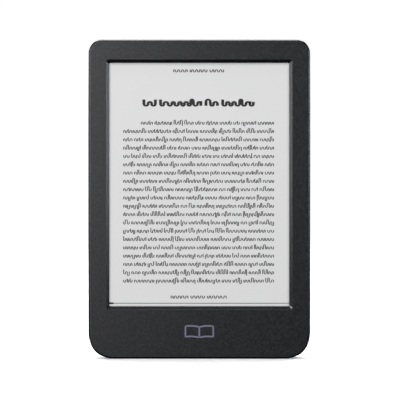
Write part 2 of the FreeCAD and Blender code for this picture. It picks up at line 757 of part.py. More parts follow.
def rear_cover():
    shell = slab(body_outline(), PARTING_Y, BACK_Y)
    shell = shell.makeFillet(REAR_EDGE_R, edges_at(shell, BACK_Y))
    hollow = slab(body_outline(COVER_WALL), PARTING_Y, COVER_INNER_Y)
    hollow = hollow.makeFillet(REAR_EDGE_R - COVER_WALL, edges_at(hollow, COVER_INNER_Y))
    cover = shell.cut(hollow)
    cover = cover.fuse(ring(COVER_WALL - 0.2, LEDGE_IN, LEDGE_Y, LEDGE_Y + LEDGE_THICKNESS))
    for place in snap_places():
        cover = cover.fuse(at_place(snap_hook(), place))
    guide_end = FLANGE_Y[0] - 0.25
    guide = disc(BUTTON_X, BUTTON_Z, FLANGE_R + 1.0, guide_end, COVER_INNER_Y)
    guide = guide.cut(disc(BUTTON_X, BUTTON_Z, FLANGE_R + BUTTON_GAP, guide_end, COVER_INNER_Y))
    cover = cover.fuse(guide)
    field = rounded_rectangle(-FIELD_HALF, FIELD_HALF, *FIELD_Z, FIELD_CORNER_R)
    cover = cover.cut(slab(field, BACK_Y - FIELD_DEPTH, BACK_Y))
    cover = cover.cut(dish_ball(DISH_R, DISH_DEPTH, BACK_Y))
    cover = cover.cut(disc(BUTTON_X, BUTTON_Z, BUTTON_R + BUTTON_GAP, COVER_INNER_Y - 0.1, BACK_Y))
    cover = cover.cut(disc(LIGHT_X, BUTTON_Z, LIGHT_R + 0.05, COVER_INNER_Y, BACK_Y))
    port = stadium(USB_OUTER[0] + 2 * USB_GAP, USB_OUTER[1] + 2 * USB_GAP, USB_Y, -1.0, LEDGE_IN + 1.0)
    return cover.cut(port)


def cover_seal():
    seal = ring(SKIRT_OUT + 0.05, SKIRT_IN - 0.05, SKIRT_END_Y, LEDGE_Y)
    notch = USB_OUTER[0] / 2 + 0.8
    return seal.cut(box(-notch, notch, SKIRT_END_Y, LEDGE_Y, 0, SKIRT_IN + 1.0))


def switch_body():
    body = centred_box(BUTTON_X, BUTTON_Z, SWITCH_SIZE, SWITCH_SIZE, BOARD_TOP_Y, SWITCH_RIM_Y)
    return body.cut(disc(BUTTON_X, BUTTON_Z, 1.8, SWITCH_FLOOR_Y, SWITCH_RIM_Y))


def switch_dome():
    """A thin domed snap disc whose rim rests on the switch's floor."""
    rim_r = 1.65
    rise = 0.4
    thickness = 0.08
    ball_r = (rim_r**2 + rise**2) / (2 * rise)
    centre = Vector(BUTTON_X, SWITCH_FLOOR_Y + rise - ball_r, BUTTON_Z)
    dome = Part.makeSphere(ball_r + thickness, centre).cut(Part.makeSphere(ball_r, centre))
    return dome.common(disc(BUTTON_X, BUTTON_Z, rim_r, SWITCH_FLOOR_Y, SWITCH_RIM_Y))


def switch_plate():
    top = SWITCH_RIM_Y + 0.15
    plate = centred_box(BUTTON_X, BUTTON_Z, SWITCH_SIZE, SWITCH_SIZE, SWITCH_RIM_Y, top)
    return plate.cut(disc(BUTTON_X, BUTTON_Z, PLUNGER_R + 0.1, SWITCH_RIM_Y, top))


def switch_plunger():
    """A stem with a wide foot, which the plate keeps in and the dome pushes out."""
    foot_y = SWITCH_RIM_Y - 0.02
    foot = disc(BUTTON_X, BUTTON_Z, 1.3, foot_y - 0.1, foot_y)
    return foot.fuse(disc(BUTTON_X, BUTTON_Z, PLUNGER_R, foot_y, PLUNGER_TOP_Y))


def power_button():
    cap = disc(BUTTON_X, BUTTON_Z, BUTTON_R, FLANGE_Y[1], BUTTON_OUT_Y)
    cap = cap.makeFillet(0.3, edges_at(cap, BUTTON_OUT_Y))
    cap = cap.cut(dish_ball(BUTTON_R - 0.6, 0.25, BUTTON_OUT_Y))
    flange = disc(BUTTON_X, BUTTON_Z, FLANGE_R, *FLANGE_Y)
    stem = disc(BUTTON_X, BUTTON_Z, 1.2, PLUNGER_TOP_Y, FLANGE_Y[0])
    return cap.fuse([flange, stem])


def button_gasket():
    outer = disc(BUTTON_X, BUTTON_Z, FLANGE_R, FLANGE_Y[1], COVER_INNER_Y)
    return outer.cut(disc(BUTTON_X, BUTTON_Z, BUTTON_R + 0.3, FLANGE_Y[1], COVER_INNER_Y))


def light_pipe():
    rod = disc(LIGHT_X, BUTTON_Z, LIGHT_R, BOARD_TOP_Y + 0.75, BACK_Y - 0.05)
    return rod.fuse(disc(LIGHT_X, BUTTON_Z, 1.4, COVER_INNER_Y - 0.5, COVER_INNER_Y))


NODES = (
    front_bezel,
    bezel_gasket,
    touch_panel,
    light_guide,
    epaper_film,
    backplane_glass,
    display_driver,
    display_tape,
    display_flex,
    touch_flex,
    light_strip,
    light_leds,
    display_socket,
    touch_socket,
    light_socket,
    socket_latches,
    mid_frame,
    frame_screws,
    main_board,
    board_screws,
    processor_chip,
    memory_chip,
    storage_chip,
    power_chip,
    power_coils,
    thermal_pad,
    shield_fence,
    shield_lid,
    radio_module,
    board_passives,
    hall_sensor,
    status_led,
    light_pipe,
    antenna,
    antenna_contact,
    battery,
    battery_board,
    battery_tape,
    battery_wires,
    battery_plug,
    battery_socket,
    cover_pads,
    cover_seal,
    usb_shell,
    usb_tongue,
    usb_contacts,
    switch_body,
    switch_dome,
    switch_plate,
    switch_plunger,
    power_button,
    button_gasket,
    rear_cover,
)


def write_nodes():
    os.makedirs("parts", exist_ok=True)
    for make in NODES:
        shape = make()
        if not shape.isValid():
            raise ValueError(make.__name__ + " is not a valid shape")
        shape.exportStep("parts/" + make.__name__ + ".step")
        print(make.__name__, len(shape.Solids), "solids", round(shape.Volume, 2), "mm3")


write_nodes()
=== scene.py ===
import json
import math
import random

import bpy
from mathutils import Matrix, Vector


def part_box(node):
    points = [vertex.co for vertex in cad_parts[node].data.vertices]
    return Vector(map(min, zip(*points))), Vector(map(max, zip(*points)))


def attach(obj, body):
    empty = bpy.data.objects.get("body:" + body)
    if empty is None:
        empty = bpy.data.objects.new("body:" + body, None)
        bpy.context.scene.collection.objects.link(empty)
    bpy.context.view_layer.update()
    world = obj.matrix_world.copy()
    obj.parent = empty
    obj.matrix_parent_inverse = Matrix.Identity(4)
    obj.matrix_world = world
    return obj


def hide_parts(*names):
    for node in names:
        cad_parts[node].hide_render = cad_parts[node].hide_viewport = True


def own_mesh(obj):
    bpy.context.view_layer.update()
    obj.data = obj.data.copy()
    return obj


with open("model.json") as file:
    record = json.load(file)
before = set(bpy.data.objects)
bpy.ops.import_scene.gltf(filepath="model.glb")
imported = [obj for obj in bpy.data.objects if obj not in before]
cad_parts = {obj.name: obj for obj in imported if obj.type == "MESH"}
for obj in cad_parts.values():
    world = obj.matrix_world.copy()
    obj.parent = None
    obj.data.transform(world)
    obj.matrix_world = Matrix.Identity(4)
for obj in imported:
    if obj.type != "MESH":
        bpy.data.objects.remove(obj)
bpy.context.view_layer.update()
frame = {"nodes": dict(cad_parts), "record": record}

MM = 0.001
NODES = frame["nodes"]
BEZEL_LOW, BEZEL_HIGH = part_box("front_bezel")
TOUCH_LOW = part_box("touch_panel")[0]
COVER_LOW, COVER_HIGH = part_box("rear_cover")
HEIGHT = BEZEL_HIGH.z


# ---------------------------------------------------------------- materials

class Surface:
    """A node material in the making: a Principled shader and the nodes that feed it. Lengths are in
    metres."""

    def __init__(self, name, **constants):
        self.material = bpy.data.materials.new("finish_" + name)
        self.material.use_nodes = True
        self.tree = self.material.node_tree
        self.shader = self.tree.nodes["Principled BSDF"]
        self.place = self.node("ShaderNodeTexCoord").outputs["Object"]
        for socket, value in constants.items():
            self.shader.inputs[socket.replace("_", " ")].default_value = value

    def node(self, kind, inputs=(), **settings):
        made = self.tree.nodes.new(kind)
        for key, value in settings.items():
            setattr(made, key, value)
        for key, value in dict(inputs).items():
            self.feed(made.inputs[key], value)
        return made

    def feed(self, socket, value):
        if isinstance(value, bpy.types.NodeSocket):
            self.tree.links.new(value, socket)
        else:
            socket.default_value = value

    def stretched(self, x, y, z):
        scale = self.node("ShaderNodeVectorMath", {0: self.place, 1: (x, y, z)}, operation="MULTIPLY")
        return scale.outputs[0]

    def noise(self, size, detail=3.0, place=None):
        inputs = {"Vector": place or self.place, "Scale": 1 / size, "Detail": detail}
        return self.node("ShaderNodeTexNoise", inputs).outputs["Fac"]

    def cells(self, size, feature="F1"):
        inputs = {"Vector": self.place, "Scale": 1 / size}
        return self.node("ShaderNodeTexVoronoi", inputs, feature=feature).outputs["Distance"]

    def axis(self, which):
        return self.node("ShaderNodeSeparateXYZ", {0: self.place}).outputs[which]

    def span(self, value, start, end, low=0.0, high=1.0, smooth=False):
        inputs = {"Value": value, "From Min": start, "From Max": end, "To Min": low, "To Max": high}
        kind = "SMOOTHSTEP" if smooth else "LINEAR"
        return self.node("ShaderNodeMapRange", inputs, interpolation_type=kind).outputs["Result"]

    def math(self, operation, a, b=0.0):
        return self.node("ShaderNodeMath", {0: a, 1: b}, operation=operation).outputs[0]

    def blend(self, factor, a, b):
        """From colour a to colour b as the factor goes from 0 to 1."""
        mix = self.node("ShaderNodeMix", data_type="RGBA")
        self.feed(mix.inputs[0], factor)
        self.feed(mix.inputs[6], a)
        self.feed(mix.inputs[7], b)
        return mix.outputs[2]

    def colour(self, value):
        self.feed(self.shader.inputs["Base Color"], value)

    def roughness(self, value):
        self.feed(self.shader.inputs["Roughness"], value)

    def bump(self, *layers):
        """Each layer is a height from 0 to 1 and the depth that it stands for."""
        normal = None
        for height, depth in layers:
            inputs = {"Height": height, "Distance": depth, "Strength": 1.0}
            if normal is not None:
                inputs["Normal"] = normal
            normal = self.node("ShaderNodeBump", inputs).outputs["Normal"]
        self.feed(self.shader.inputs["Normal"], normal)


def shade(colour, factor):
    return tuple(c * factor for c in colour[:3]) + (1.0,)


def moulded_plastic(name, colour, rough, grain=0.12 * MM, depth=0.006 * MM, fleck=0.16, edges=None,
                    **constants):
    """Matte plastic with a spark-eroded grain, pale flecks and faint mottling. Most of the grain
    fades out between the two depths in edges."""
    s = Surface(name, **constants)
    clouds = s.noise(6 * MM, 5)
    flecks = s.span(s.noise(1.1 * MM, 2), 0.4, 0.66)
    tone = s.blend(clouds, shade(colour, 0.92), shade(colour, 1.08))
    s.colour(s.blend(flecks, tone, shade(colour, 1 + fleck)))
    s.roughness(s.span(s.noise(1.3 * MM, 4), 0.3, 0.7, rough + 0.06, rough - 0.06))
    layers = (
        (s.noise(grain, 2), depth),
        (s.noise(grain * 5, 2), 3 * depth),
        (s.noise(1.4 * MM, 2), 3 * depth),
    )
    if edges:
        kept = s.span(s.axis("Y"), *edges, 1, 0.12, smooth=True)
        layers = tuple((s.math("MULTIPLY", kept, height), size) for height, size in layers)
    s.bump(*layers)
    return s


def body_plastic(name, colour, flat_y, rounded_y):
    """The outer shells' plastic. The mould's grain fades at its rounded and bevelled edges, which are
    smoother and rubbed paler in patches. The joint between the shells is a thin dark line of painted
    shade, standing in for the shadow in the gap there."""
    s = moulded_plastic(name, colour, FACE_ROUGHNESS, fleck=4.5, edges=(flat_y, rounded_y),
                        Specular_IOR_Level=0.4)
    base = s.shader.inputs["Base Color"].links[0].from_socket
    rough = s.shader.inputs["Roughness"].links[0].from_socket
    depth = s.axis("Y")
    edge = s.span(depth, flat_y, rounded_y, smooth=True)
    patches = s.span(s.noise(3 * MM, 5), 0.42, 0.68)
    rubbed = s.blend(s.math("MULTIPLY", s.math("MULTIPLY", edge, patches), 0.3), base, shade(colour, 2.0))
    # Painted shade: a thin dark line at the joint between the shells stands in for the gap's shadow, and
    # is rougher there
    from_joint = s.math("ABSOLUTE", s.math("SUBTRACT", depth, PARTING_Y))
    joint_gap_shade = s.span(from_joint, 0.03 * MM, 0.08 * MM, 1, 0, smooth=True)
    s.colour(s.blend(joint_gap_shade, rubbed, shade(colour, 0.1)))
    smoothed = s.math("MULTIPLY", rough, s.span(edge, 0, 1, 1, EDGE_ROUGHNESS / FACE_ROUGHNESS))
    s.roughness(s.math("MAXIMUM", smoothed, s.math("MULTIPLY", joint_gap_shade, 0.95)))
    return s


def print_ink(name, colour):
    """Ink with a slightly uneven film and a soft tooth."""
    s = Surface(name, Specular_IOR_Level=0.3)
    film = s.noise(0.6 * MM, 3)
    s.colour(s.blend(film, shade(colour, 0.9), shade(colour, 1.12)))
    s.roughness(s.span(film, 0, 1, 0.55, 0.7))
    s.bump((s.noise(0.08 * MM, 2), 0.002 * MM))
    return s


def electronic_paper(name, colour):
    """The etched screen over the pale capsules of the display film, with its faint paper-like mottle.
    The film is darkened near the window's edges, where the bezel's lip is close above it: painted
    shade standing in for the lip's shadow, strongest along the top."""
    s = Surface(name, Specular_IOR_Level=0.18)
    capsules = s.cells(0.11 * MM)
    clouds = s.noise(14 * MM, 4)
    tone = s.blend(clouds, shade(colour, 0.985), shade(colour, 1.015))
    speckled = s.blend(s.span(capsules, 0.2, 0.9), tone, shade(colour, 0.965))
    # Painted shade: a dark band along the window's edges, deepest at the top, stands in for the shadow of
    # the bezel's lip
    across = s.math("ABSOLUTE", s.axis("X"))
    side = s.span(across, WINDOW_HALF - 1.3 * MM, WINDOW_HALF, 0, 0.28, smooth=True)
    top = s.span(s.axis("Z"), WINDOW_Z[1] - 1.7 * MM, WINDOW_Z[1], 0, 0.42, smooth=True)
    bottom = s.span(s.axis("Z"), WINDOW_Z[0] + 0.9 * MM, WINDOW_Z[0], 0, 0.2, smooth=True)
    lip_shadow_paint = s.math("MAXIMUM", side, s.math("MAXIMUM", top, bottom))
    s.colour(s.blend(lip_shadow_paint, speckled, shade(colour, 0.1)))
    s.roughness(s.span(s.noise(0.5 * MM, 3), 0, 1, 0.58, 0.68))
    s.bump((s.noise(0.05 * MM, 2), 0.0015 * MM))
    return s


def soft_foam(name, colour):
    s = Surface(name, Specular_IOR_Level=0.2)
    pores = s.cells(0.14 * MM)
    s.colour(s.blend(pores, shade(colour, 0.6), shade(colour, 1.6)))
    s.roughness(s.span(pores, 0, 1, 0.95, 0.8))
    s.bump((pores, 0.03 * MM), (s.noise(1.2 * MM), 0.02 * MM))
    return s


def silicone(name, colour):
    s = Surface(name, Specular_IOR_Level=0.4, Sheen_Weight=0.15)
    dust = s.noise(0.3 * MM, 4)
    s.colour(s.blend(s.span(dust, 0.4, 0.75), colour, shade(colour, 1.5)))
    s.roughness(s.span(dust, 0, 1, 0.5, 0.75))
    s.bump((s.noise(0.1 * MM), 0.004 * MM))
    return s


def worked_metal(name, colour, rough, brushed=(1, 1, 1), pits=0.01 * MM):
    """Metal with a fine grain, drawn out along one axis where it is brushed or rolled."""
    s = Surface(name, Metallic=1.0)
    grain = s.noise(0.12 * MM, 3, s.stretched(*brushed))
    stains = s.noise(3 * MM, 4)
    s.colour(s.blend(stains, shade(colour, 0.85), shade(colour, 1.08)))
    worn = s.span(grain, 0.2, 0.8, rough - 0.08, rough + 0.08)
    s.roughness(s.math("ADD", worn, s.span(stains, 0, 1, -0.04, 0.04)))
    s.bump((grain, pits))
    return s


def glossy_film(name, colour, rough, lines, line_colour):
    """A thin smooth sheet. Its printed conductors are bands of another colour, repeated along one
    axis."""
    s = Surface(name, Specular_IOR_Level=0.5)
    ripple = s.noise(2.5 * MM, 3)
    tone = s.blend(ripple, shade(colour, 0.88), shade(colour, 1.12))
    axis, pitch = lines
    wave = s.math("SINE", s.math("MULTIPLY", s.axis(axis), 2 * math.pi / pitch))
    s.colour(s.blend(s.span(wave, 0.1, 0.3), tone, line_colour))
    s.roughness(s.span(ripple, 0, 1, rough - 0.05, rough + 0.08))
    s.bump((ripple, 0.02 * MM))
    return s


def fired_ceramic(name, colour, end_colour):
    s = Surface(name, Specular_IOR_Level=0.5)
    grains = s.cells(0.12 * MM)
    bodies = s.span(s.noise(1.1 * MM, 0), 0.45, 0.55)
    s.colour(s.blend(bodies, s.blend(grains, shade(colour, 0.8), shade(colour, 1.2)), end_colour))
    s.roughness(s.span(grains, 0, 1, 0.35, 0.6))
    s.bump((grains, 0.004 * MM))
    return s


def solder_mask(name, colour):
    """A circuit board: mask over copper tracks, which show as paler bands, and plated vias."""
    s = Surface(name, Specular_IOR_Level=0.5, Coat_Weight=0.3, Coat_Roughness=0.2)
    across = s.span(s.noise(2.2 * MM, 1, s.stretched(1, 1, 0.15)), 0.5, 0.56)
    along = s.span(s.noise(2.2 * MM, 1, s.stretched(0.15, 1, 1)), 0.5, 0.56)
    tracks = s.math("MAXIMUM", across, along)
    vias = s.span(s.cells(1.9 * MM), 0.1, 0.16, 1, 0)
    tone = s.blend(tracks, shade(colour, 0.8), shade(colour, 1.6))
    s.colour(s.blend(vias, tone, (0.55, 0.42, 0.16, 1)))
    s.roughness(s.span(tracks, 0, 1, 0.35, 0.28))
    s.bump((tracks, 0.02 * MM), (s.noise(0.2 * MM), 0.003 * MM))
    return s


def chip_moulding(name, colour):
    s = Surface(name, Specular_IOR_Level=0.45)
    grit = s.noise(0.06 * MM, 3)
    s.colour(s.blend(grit, shade(colour, 0.7), shade(colour, 1.5)))
    s.roughness(s.span(s.noise(2 * MM), 0.3, 0.7, 0.5, 0.62))
    s.bump((grit, 0.006 * MM))
    return s


def foil_pouch(name, colour):
    """Laminated foil that is slack over the cell and creased in places."""
    s = Surface(name, Metallic=0.85)
    slack = s.noise(9 * MM, 2)
    creases = s.span(s.cells(11 * MM, "DISTANCE_TO_EDGE"), 0.0, 0.06, 1, 0)
    s.colour(s.blend(slack, shade(colour, 0.85), shade(colour, 1.1)))
    s.roughness(s.span(slack, 0.3, 0.7, 0.32, 0.46))
    s.bump((slack, 0.12 * MM), (creases, 0.03 * MM))
    return s


def sleeved_wire(name, first, second, split):
    """The battery's insulated leads, which share a node. All of them are the first colour up to the
    split in X, and the second colour past it."""
    s = Surface(name, Specular_IOR_Level=0.45)
    side = s.span(s.axis("X"), split - 0.05 * MM, split + 0.05 * MM)
    scuffs = s.noise(0.8 * MM, 4)
    s.colour(s.blend(side, s.blend(scuffs, shade(first, 0.8), shade(first, 1.2)), second))
    s.roughness(s.span(scuffs, 0, 1, 0.35, 0.55))
    s.bump((scuffs, 0.01 * MM))
    return s


def clear_rod(name, colour, rough):
    s = Surface(name, IOR=1.49, Specular_IOR_Level=0.5, Coat_Weight=0.4, Coat_Roughness=0.08)
    haze = s.noise(0.5 * MM, 4)
    s.colour(s.blend(haze, shade(colour, 0.85), shade(colour, 1.05)))
    s.roughness(s.span(haze, 0, 1, rough, rough + 0.12))
    s.bump((haze, 0.004 * MM))
    return s


# The window in the bezel
WINDOW_HALF = 45.35 * MM
WINDOW_Z = (26.5 * MM, 149.2 * MM)
FACE_ROUGHNESS = 0.44
EDGE_ROUGHNESS = 0.24
PARTING_Y = COVER_LOW.y
BEZEL_BLACK = (0.0017, 0.0019, 0.0025, 1)
COVER_BLACK = (0.0032, 0.0034, 0.0039, 1)
BUTTON_BLACK = (0.018, 0.018, 0.019, 1)
GLASS = (0.3, 0.34, 0.32, 1)
GLASS_LINES = (0.2, 0.22, 0.25, 1)
SILICON = (0.1, 0.11, 0.14, 1)
SILICON_LINES = (0.16, 0.15, 0.2, 1)
WIRE_RED = (0.45, 0.02, 0.02, 1)
WIRE_BLACK = (0.02, 0.02, 0.02, 1)
IVORY = (0.62, 0.58, 0.47, 1)
AMBER = (0.42, 0.19, 0.035, 1)
COPPER = (0.72, 0.36, 0.2, 1)
GOLD = (0.83, 0.62, 0.26, 1)
STEEL = (0.6, 0.6, 0.59, 1)


def finishes():
    """The material for each of the record's slots."""
    front, back = BEZEL_LOW.y, COVER_HIGH.y
    roll = (0.06, 1, 1)
    return {
        "bezel_plastic": body_plastic(
            "bezel_plastic", BEZEL_BLACK, front + 0.005 * MM, front + 0.06 * MM
        ),
        "cover_plastic": body_plastic("cover_plastic", COVER_BLACK, back - 0.4 * MM, back - 1.4 * MM),
        "button_plastic": moulded_plastic("button_plastic", BUTTON_BLACK, 0.36, 0.09 * MM, 0.003 * MM),
        "light_pipe_plastic": clear_rod("light_pipe_plastic", (0.75, 0.78, 0.8, 1), 0.12),
        "touch_film": electronic_paper("touch_film", (0.608, 0.6, 0.592, 1)),
        "guide_acrylic": clear_rod("guide_acrylic", (0.8, 0.82, 0.83, 1), 0.08),
        "paper_film": electronic_paper("paper_film", (0.66, 0.66, 0.64, 1)),
        "backplane_glass": glossy_film("backplane_glass", GLASS, 0.15, ("X", 0.3 * MM), GLASS_LINES),
        "silicon": glossy_film("silicon", SILICON, 0.18, ("X", 0.4 * MM), SILICON_LINES),
        "adhesive_foam": soft_foam("adhesive_foam", (0.02, 0.02, 0.02, 1)),
        "button_silicone": silicone("button_silicone", (0.05, 0.05, 0.054, 1)),
        "flex_film": glossy_film("flex_film", AMBER, 0.3, ("X", 0.5 * MM), (0.6, 0.3, 0.07, 1)),
        "led_package": clear_rod("led_package", (0.85, 0.8, 0.5, 1), 0.3),
        "connector_plastic": moulded_plastic("connector_plastic", IVORY, 0.5),
        "latch_plastic": moulded_plastic("latch_plastic", (0.04, 0.032, 0.028, 1), 0.5),
        "frame_metal": worked_metal("frame_metal", (0.62, 0.63, 0.64, 1), 0.42, pits=0.02 * MM),
        "screw_steel": worked_metal("screw_steel", (0.32, 0.32, 0.33, 1), 0.34),
        "board_laminate": solder_mask("board_laminate", (0.012, 0.085, 0.04, 1)),
        "chip_resin": chip_moulding("chip_resin", (0.022, 0.022, 0.024, 1)),
        "coil_ferrite": fired_ceramic("coil_ferrite", (0.1, 0.1, 0.105, 1), (0.13, 0.13, 0.13, 1)),
        "thermal_silicone": silicone("thermal_silicone", (0.36, 0.42, 0.52, 1)),
        "shield_metal": worked_metal("shield_metal", (0.7, 0.7, 0.68, 1), 0.3, roll),
        "passive_ceramic": fired_ceramic("passive_ceramic", (0.3, 0.2, 0.12, 1), (0.5, 0.49, 0.46, 1)),
        "copper_patch": worked_metal("copper_patch", COPPER, 0.3, roll),
        "gold_contact": worked_metal("gold_contact", GOLD, 0.22),
        "battery_pouch": foil_pouch("battery_pouch", (0.6, 0.61, 0.62, 1)),
        "wire_sleeve": sleeved_wire("wire_sleeve", WIRE_RED, WIRE_BLACK, wire_split()),
        "usb_steel": worked_metal("usb_steel", STEEL, 0.26, (1, 1, 0.06)),
        "usb_blade": moulded_plastic("usb_blade", (0.03, 0.03, 0.032, 1), 0.4),
        "switch_resin": moulded_plastic("switch_resin", (0.035, 0.035, 0.035, 1), 0.45),
        "switch_steel": worked_metal("switch_steel", (0.66, 0.66, 0.65, 1), 0.2),
        "page_ink": print_ink("page_ink", (0.016, 0.016, 0.018, 1)),
        "page_grey_ink": print_ink("page_grey_ink", (0.13, 0.13, 0.13, 1)),
        "mark_ink": print_ink("mark_ink", (0.13, 0.135, 0.185, 1)),
    }


def wire_split():
    low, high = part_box("battery_wires")
    return (low.x + high.x) / 2


def dress(looks):
    """Gives every CAD node the finish of its slot."""
    for part in frame["record"]["subparts"]:
        node = NODES[part["node"]]
        node.data.materials.clear()
        node.data.materials.append(looks[part["material_slot"]].material)


def snap_dome(looks):
    """The power switch's dome: a copy of its CAD node in switch steel, riding on the housing. The real
    dome flattens on to the switch's floor as the button goes in; the copy keeps its shape.
    """
    node = NODES["switch_dome"]
    dome = bpy.data.objects.new("snap_dome", node.data.copy())
    dome.matrix_world = node.matrix_world.copy()
    dome.data.materials.clear()
    dome.data.materials.append(looks["switch_steel"].material)
    bpy.context.scene.collection.objects.link(dome)
    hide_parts("switch_dome")
    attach(dome, "housing")
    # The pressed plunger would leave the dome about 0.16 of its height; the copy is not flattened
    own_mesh(dome)


# ---------------------------------------------------------------- thin printed shapes

class Print:
    """Flat shapes in an X-Z plane, given a little thickness and gathered in one mesh."""

    def __init__(self, front, back):
        self.front = front
        self.back = back
        self.points = []
        self.faces = []

    def ribbon(self, path, widths):
        """A closed strip along a path of (x, z) points, with a width at each."""
        start = len(self.points)
        count = len(path)
        for i, (x, z) in enumerate(path):
            before = path[max(i - 1, 0)]
            after = path[min(i + 1, count - 1)]
            along = Vector((after[0] - before[0], after[1] - before[1])).normalized()
            side = Vector((-along.y, along.x)) * widths[i] / 2
            for y in (self.front, self.back):
                self.points.append((x + side.x, y, z + side.y))
                self.points.append((x - side.x, y, z - side.y))
        for i in range(count - 1):
            a = start + 4 * i
            b = a + 4
            self.faces.append((a, a + 1, b + 1, b))
            self.faces.append((a + 2, b + 2, b + 3, a + 3))
            self.faces.append((a, b, b + 2, a + 2))
            self.faces.append((a + 1, a + 3, b + 3, b + 1))
        end = start + 4 * (count - 1)
        self.faces.append((start, start + 2, start + 3, start + 1))
        self.faces.append((end, end + 1, end + 3, end + 2))

    def bar(self, x0, x1, z, height):
        self.ribbon([(x0, z), (x1, z)], [height, height])

    def finish(self, name, look):
        mesh = bpy.data.meshes.new(name)
        mesh.from_pydata(self.points, [], self.faces)
        mesh.validate()
        mesh.materials.append(look.material)
        made = bpy.data.objects.new(name, mesh)
        bpy.context.scene.collection.objects.link(made)
        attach(made, "housing")


ARC_STEPS = 5
TALL_SHARE = 0.16
DEEP_SHARE = 0.07


def scribble(x, baseline, width, low, spacing, stroke, rng, tall=0.0, deep=0.0, capital=False):
    """One word: a pen line that goes up and down and says nothing. It has stems, which are thick, and
    turns, which are thin. Some stems are tall or deep. Returns the path and its widths."""
    stems = max(2, round(width / spacing))
    gaps = [rng.uniform(0.75, 1.25) for _ in range(stems - 1)]
    unit = width / sum(gaps)
    places = [x]
    for gap in gaps:
        places.append(places[-1] + gap * unit)
    path = []
    widths = []
    thin = stroke * 0.62
    upward = rng.random() < 0.5
    turn_low = baseline + stroke / 2
    for i, here in enumerate(places):
        reach = (places[i + 1] - here) / 2 if i + 1 < stems else 0.0
        back = (here - places[i - 1]) / 2 if i else 0.0
        reaches_up = tall and (rng.random() < TALL_SHARE or (capital and i == 0))
        top = baseline + low * (tall if reaches_up else 1.0) - stroke / 2
        bottom = turn_low - (low * deep if deep and rng.random() < DEEP_SHARE else 0.0)
        first, last = (bottom + back, top - reach) if upward else (top - back, bottom + reach)
        path += [(here, first), (here, last)]
        widths += [stroke, stroke]
        if i + 1 < stems:
            centre = here + reach
            side = 1 if upward else -1
            for step in range(1, ARC_STEPS):
                angle = math.pi * step / ARC_STEPS
                path.append((centre - reach * math.cos(angle), last + side * reach * math.sin(angle)))
                widths.append(thin + (stroke - thin) * abs(math.cos(angle)) ** 2)
        upward = not upward
    return path, widths


def text_line(page, left, right, baseline, pen, rng, lengths, **stems):
    """A line of words of random lengths, spread out to fill the line from side to side."""
    low, pitch, stroke = pen
    words = []
    room = right - left
    gap = 0.9 * pitch
    while sum(words) + gap * len(words) < room - 2 * pitch:
        words.append(pitch * rng.choice(lengths))
    words[-1] = max(pitch * 1.5, words[-1] - (sum(words) + gap * (len(words) - 1) - room))
    gap = (room - sum(words)) / (len(words) - 1)
    x = left
    for width in words:
        page.ribbon(*scribble(x, baseline, width, low, pitch * 0.52, stroke, rng, **stems))
        x += width + gap


# Where things are on the page. The heights are from the bottom edge of the reader
PAGE_X = -0.35 * MM
HEADER_Z = 144.3 * MM
HEADER_HALF = 12.6 * MM
TITLE_Z = 126.8 * MM
TITLE_HALF = 27.6 * MM
TEXT_HALF = 37.8 * MM
TEXT_Z = 117.9 * MM
TEXT_LINES = 20
LINE_PITCH = 4.19 * MM
INDENT = 8.9 * MM
FOOTER_Z = 30.2 * MM
FOOTER_HALF = 13.9 * MM
PROGRESS_Z = 27.97 * MM
PROGRESS_DONE = 2.2 * MM
PROGRESS_THIN = 0.4 * MM
PROGRESS_THICK = 0.95 * MM
# The ink's front and back: most of it stands proud of the screen
INK_Y = (TOUCH_LOW.y - 0.012 * MM, TOUCH_LOW.y + 0.006 * MM)
# Each pen is the height of its turns, the pitch that its words are counted in, and its stroke
HEADER_PEN = (1.75 * MM, 1.7 * MM, 0.54 * MM)
TITLE_PEN = (3.5 * MM, 2.9 * MM, 1.52 * MM)
TEXT_PEN = (1.7 * MM, 1.4 * MM, 0.46 * MM)
FOOTER_PEN = (1.75 * MM, 1.7 * MM, 0.5 * MM)
# The lengths that words are picked from, in pitches
SMALL_LENGTHS = (3, 4, 5)
TITLE_LENGTHS = (2, 4, 7)
TEXT_LENGTHS = (2, 3, 3, 4, 4, 5, 6, 7, 8)


def page_print(looks):
    """The page on the screen: a header, a title, a paragraph and a footer, in pen lines that stand
    for words."""
    rng = random.Random(11)
    page = Print(*INK_Y)
    text_line(page, PAGE_X - HEADER_HALF, PAGE_X + HEADER_HALF, HEADER_Z, HEADER_PEN, rng,
              SMALL_LENGTHS)
    text_line(page, PAGE_X - TITLE_HALF, PAGE_X + TITLE_HALF, TITLE_Z, TITLE_PEN, rng,
              TITLE_LENGTHS, tall=1.34, capital=True)
    for i in range(TEXT_LINES):
        left = PAGE_X - TEXT_HALF + (INDENT if i == 0 else 0)
        text_line(page, left, PAGE_X + TEXT_HALF, TEXT_Z - i * LINE_PITCH, TEXT_PEN, rng,
                  TEXT_LENGTHS, tall=1.6, deep=0.45)
    text_line(page, PAGE_X - FOOTER_HALF, PAGE_X + FOOTER_HALF, FOOTER_Z, FOOTER_PEN, rng,
              SMALL_LENGTHS)
    page.finish("page_text", looks["page_ink"])


def progress_bar(looks):
    """How far into the book the reader is: a thin grey line with a short black start."""
    window = WINDOW_HALF + 0.15 * MM
    line = Print(*INK_Y)
    line.bar(-window + PROGRESS_DONE, window, PROGRESS_Z, PROGRESS_THIN)
    line.finish("progress_line", looks["page_grey_ink"])
    start = Print(*INK_Y)
    start.bar(-window, -window + PROGRESS_DONE, PROGRESS_Z, PROGRESS_THICK)
    start.finish("progress_start", looks["page_ink"])


MARK_Z = 13.6 * MM
MARK_HALF = 7.0 * MM
MARK_HEIGHT = 6.2 * MM
MARK_STROKE = 0.8 * MM
MARK_CURL = 0.9 * MM


def page_edge(x0, x1, z0, rise, steps=8):
    """A page's edge, which curls up away from the spine."""
    path = []
    for i in range(steps + 1):
        t = i / steps
        path.append((x0 + (x1 - x0) * t, z0 + rise * math.sin(math.pi * (0.12 + 0.62 * t))))
    return path


